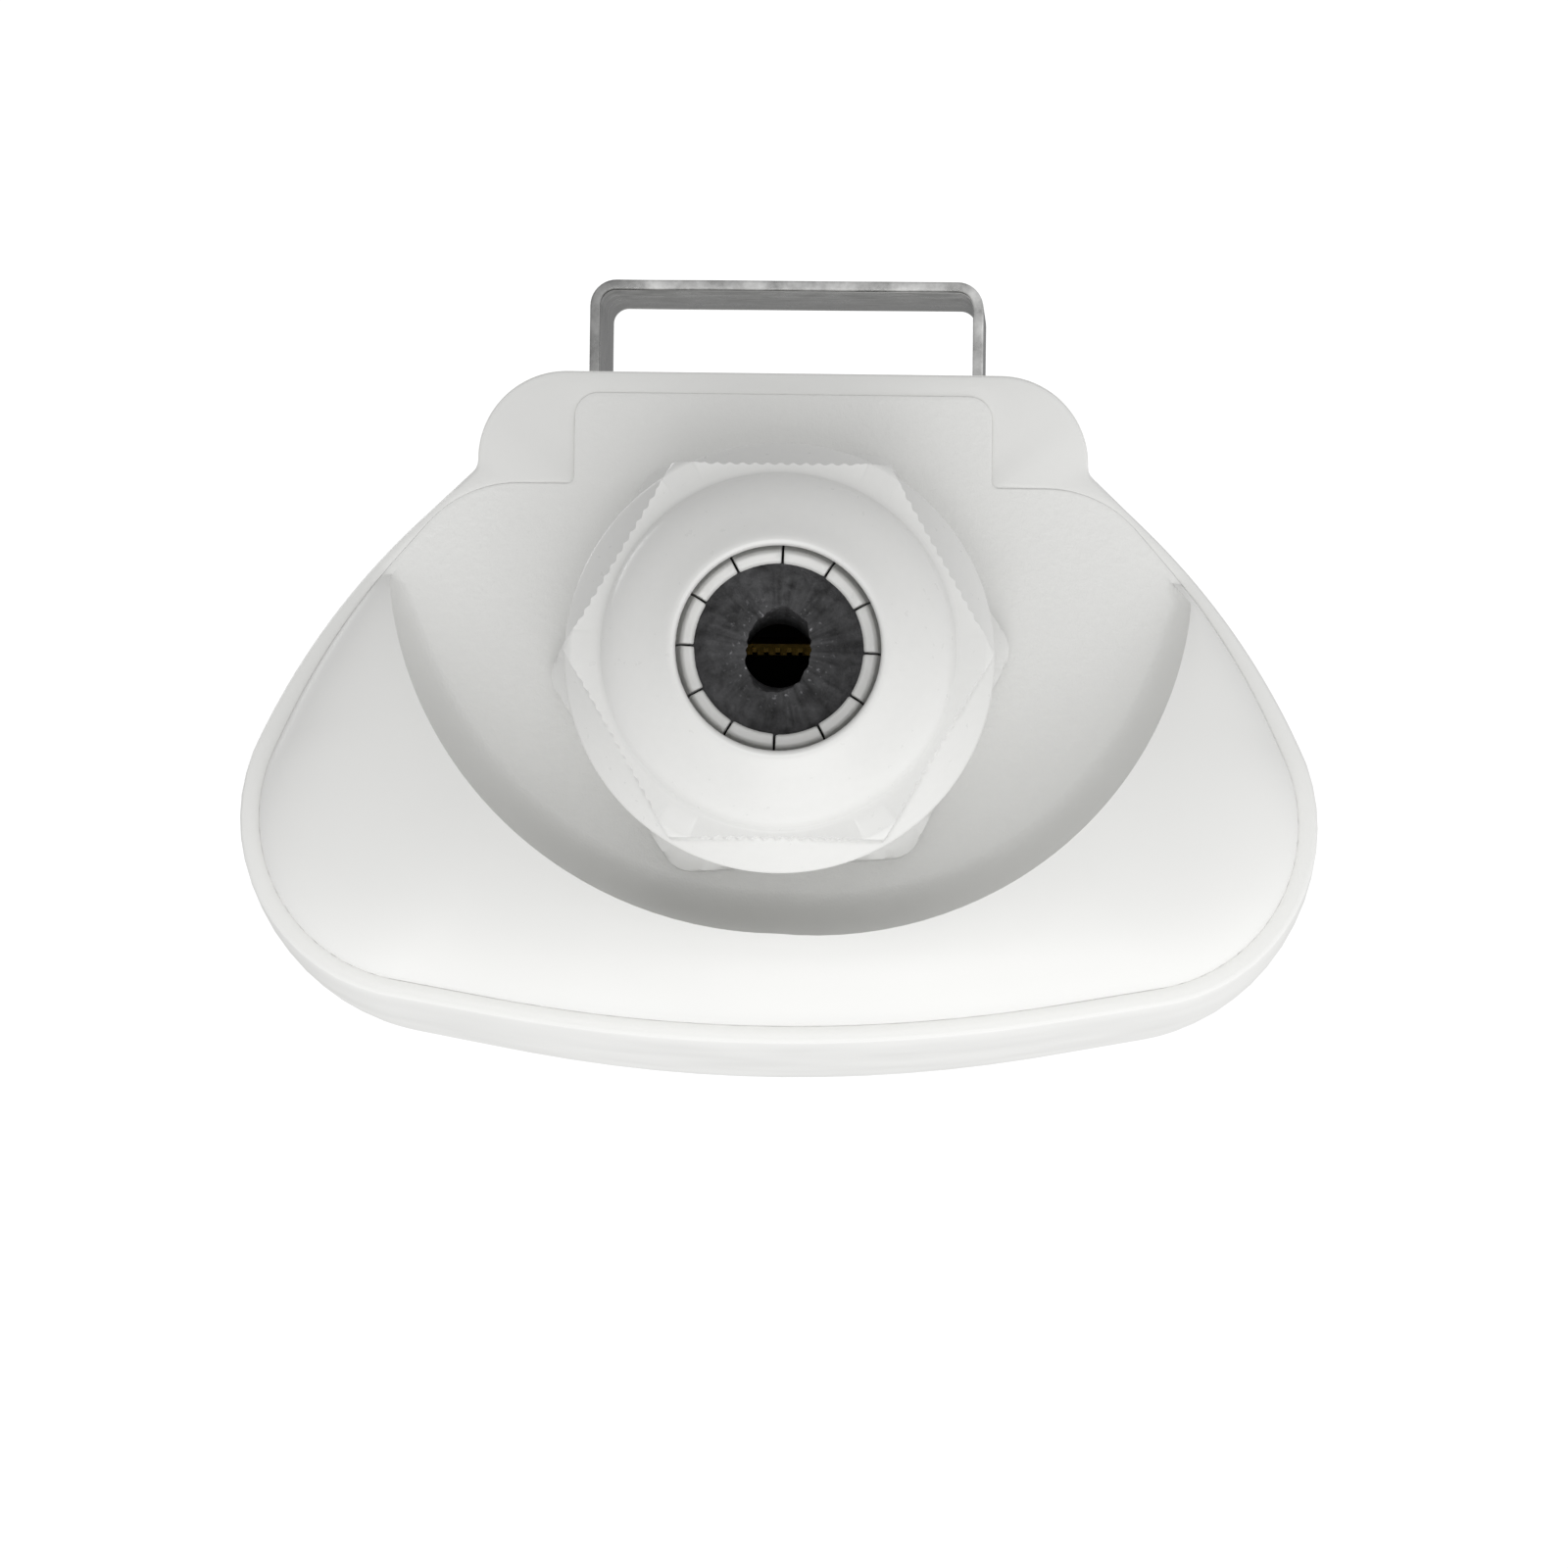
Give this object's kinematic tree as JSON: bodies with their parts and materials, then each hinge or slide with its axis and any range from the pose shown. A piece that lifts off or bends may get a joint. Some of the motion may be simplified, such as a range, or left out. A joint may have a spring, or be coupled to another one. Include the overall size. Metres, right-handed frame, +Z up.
{
  "type": "outdoor wireless unit",
  "caption": "Weatherproof white plastic housing with a plug-in end cap, threaded cable gland, boards and aerial inside, and a swivelling steel strap loop on the back.",
  "frame": {"origin": "middle of the outer face of the strap loop's web", "axes": "+Z up along the housing, away from the gland; +Y out of the back, towards the wall or pole; -Y the front"},
  "size_m": [0.097, 0.0767, 0.2256],
  "materials": {
    "white_shell": "satin, weatherproof moulded polycarbonate",
    "white_nylon": "satin moulded nylon",
    "dark_rubber": "matt, torn radial grain",
    "strap_steel": "stainless strip with drawn scratches",
    "screw_steel": "stainless",
    "brass": "turned",
    "grey_plastic": "matt",
    "black_plastic": "matt",
    "board_green": "solder mask",
    "tin_shield": "tinned sheet",
    "gold_contact": "gold plated",
    "aluminium": "rolled sheet",
    "copper": "bare copper foil"
  },
  "bodies": {
    "bracket": {"strap_bracket": "strap_steel"},
    "housing": {"sleeve_housing": "white_shell", "pivot_insert": "brass", "pivot_bush": "screw_steel", "pivot_washer": "screw_steel", "lock_washer": "screw_steel", "pivot_screw": "screw_steel", "board_carrier": "grey_plastic", "carrier_screw_high": "screw_steel", "carrier_screw_low": "screw_steel", "radio_board": "board_green", "board_screw_low_right": "screw_steel", "board_screw_low_left": "screw_steel", "board_screw_high_right": "screw_steel", "board_screw_high_left": "screw_steel", "network_jack": "black_plastic", "jack_shield": "tin_shield", "jack_contacts": "gold_contact", "poe_transformer": "black_plastic", "radio_chip": "black_plastic", "memory_chip": "black_plastic", "radio_can": "tin_shield", "power_inductor": "grey_plastic", "power_capacitor": "aluminium", "reset_switch": "black_plastic", "reflector_plate": "aluminium", "plate_post_low_right": "white_nylon", "plate_post_low_left": "white_nylon", "plate_post_high_right": "white_nylon", "plate_post_high_left": "white_nylon", "aerial_panel": "board_green", "panel_post_low_right": "white_nylon", "panel_post_low_left": "white_nylon", "panel_post_high_right": "white_nylon", "panel_post_high_left": "white_nylon", "patch_low": "copper", "patch_high": "copper", "lead_plug_right": "gold_contact", "lead_plug_left": "gold_contact", "aerial_lead_right": "black_plastic", "aerial_lead_left": "black_plastic"},
    "cap": {"end_cap": "white_shell", "end_cap_gasket": "dark_rubber", "gland_body": "white_nylon", "gland_claw": "white_nylon", "gland_seal": "dark_rubber", "gland_o_ring": "dark_rubber", "gland_lock_nut": "white_nylon"},
    "ring": {"slip_ring": "white_nylon"},
    "nut": {"gland_nut": "white_nylon"},
    "button": {"reset_button": "white_nylon"}
  },
  "joints": [
    {"name": "bracket_swivel", "type": "hinge", "parent": "bracket", "child": "housing", "pos_m": [0, 0, 0], "axis": [0, 1, 0], "range_deg": [-90, 90]},
    {"name": "end_cap_pull", "type": "slide", "parent": "housing", "child": "cap", "axis": [0, 0, -1], "range_m": [0, 0.05]},
    {"name": "nut_travel", "type": "slide", "parent": "cap", "child": "ring", "axis": [0, 0, 1], "range_m": [-0.00901, 0]},
    {"name": "nut_turn", "type": "hinge", "parent": "ring", "child": "nut", "pos_m": [0, -0.04065, -0.11], "axis": [0, 0, 1], "range_deg": [-2160, 0]},
    {"name": "reset_press", "type": "slide", "parent": "housing", "child": "button", "axis": [0, 1, 0], "range_m": [0, 0.0005], "stiffness_N_per_m": 1000, "springref_m": -0.0004}
  ],
  "couplings": [
    {"joint": "nut_travel", "follows": "nut_turn", "m_per_rad": 0.00023873}
  ]
}
